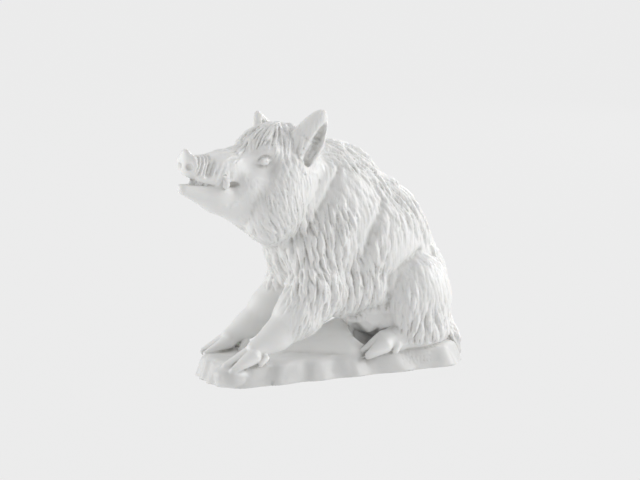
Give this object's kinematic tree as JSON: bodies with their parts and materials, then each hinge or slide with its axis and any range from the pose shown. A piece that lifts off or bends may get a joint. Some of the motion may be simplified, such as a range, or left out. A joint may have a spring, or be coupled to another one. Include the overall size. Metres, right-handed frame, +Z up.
{
  "type": "boar figurine",
  "caption": "White porcelain figurine of a wild boar sitting on its haunches, head raised, cast in one with a low oblong rocky plinth.",
  "frame": {"origin": "centre of the plinth's flat underside", "axes": "+X towards the boar's rump, so the snout points to -X; +Y towards the boar's right side; +Z up"},
  "size_m": [0.1853, 0.0654, 0.1569],
  "materials": {
    "white_porcelain": "satin"
  },
  "bodies": {
    "root": {"boar_figurine": "white_porcelain"}
  },
  "joints": []
}
